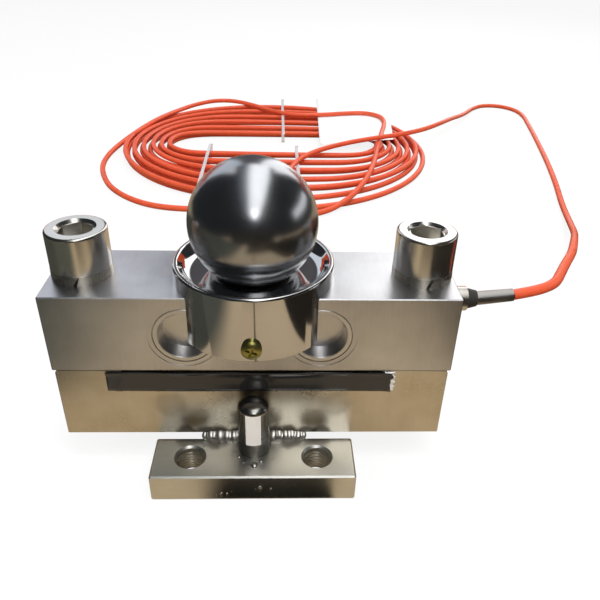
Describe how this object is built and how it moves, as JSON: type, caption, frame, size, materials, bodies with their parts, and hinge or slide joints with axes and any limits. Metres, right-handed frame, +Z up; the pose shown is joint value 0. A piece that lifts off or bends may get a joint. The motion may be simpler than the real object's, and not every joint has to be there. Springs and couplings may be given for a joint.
{
  "type": "double-ended shear beam load cell",
  "caption": "Double-ended shear beam load cell: a nickel plated beam clamped on a base block, with a ball in a chromed cup, foot bars and a coiled cable.",
  "frame": {"origin": "on the surface that the foot bars stand on, under the middle of the beam", "axes": "+X along the beam towards the cable gland, +Y from the front with the label to the rear, +Z up through the ball"},
  "size_m": [0.7039, 0.9728, 0.1986],
  "materials": {
    "milled_nickel_plate": "milled and nickel plated",
    "ground_nickel_plate": "ground and nickel plated",
    "nickel_bar": "sawn and nickel plated",
    "turned_rod": "turned",
    "weld_metal": "weld bead",
    "nickel_screw": "nickel plated",
    "zinc_screw": "yellow zinc plated",
    "bearing_steel": "ground and polished",
    "hardened_seat": "ground",
    "chrome_cup": "chromed",
    "sealing_cup": "pressed",
    "gauge_foil": "foil on film",
    "circuit_board": "solder board",
    "lead_insulation": "insulated leads",
    "gland_metal": "turned",
    "seal_rubber": "moulded",
    "sleeve_metal": "wound",
    "orange_sheath": "extruded sheath",
    "tie_film": "plastic band",
    "core_red": "insulated core",
    "core_green": "insulated core",
    "core_white": "insulated core",
    "core_black": "insulated core",
    "black_tape": "embossing tape without text",
    "white_paper": "blank paper"
  },
  "bodies": {
    "root": {"elastic_beam": "milled_nickel_plate", "base_block": "ground_nickel_plate", "foot_bar_front": "nickel_bar", "foot_bar_rear": "nickel_bar", "stop_rod_front": "turned_rod", "stop_rod_rear": "turned_rod", "weld_beads_front": "weld_metal", "weld_beads_rear": "weld_metal", "clamp_screw_left": "nickel_screw", "clamp_screw_right": "nickel_screw", "spring_washer_left": "nickel_screw", "spring_washer_right": "nickel_screw", "cup_screw_front": "zinc_screw", "cup_screw_rear": "zinc_screw", "load_ball": "bearing_steel", "ball_seat": "hardened_seat", "ball_cup": "chrome_cup", "gauge_cover_left_front": "sealing_cup", "gauge_cover_left_rear": "sealing_cup", "gauge_cover_right_front": "sealing_cup", "gauge_cover_right_rear": "sealing_cup", "strain_gauge_left_front": "gauge_foil", "strain_gauge_left_rear": "gauge_foil", "strain_gauge_right_front": "gauge_foil", "strain_gauge_right_rear": "gauge_foil", "terminal_board_left": "circuit_board", "terminal_board_right": "circuit_board", "lead_wires": "lead_insulation", "gland_body": "gland_metal", "gland_seal": "seal_rubber", "cable_sleeve": "sleeve_metal", "cable_entry": "orange_sheath", "cable_run": "orange_sheath", "cable_coil": "orange_sheath", "cable_end": "orange_sheath", "cable_tie_front": "tie_film", "cable_tie_left": "tie_film", "cable_tie_rear": "tie_film", "core_red": "core_red", "core_green": "core_green", "core_white": "core_white", "core_black": "core_black", "label_strip": "black_tape", "rod_sticker": "white_paper"}
  },
  "joints": []
}
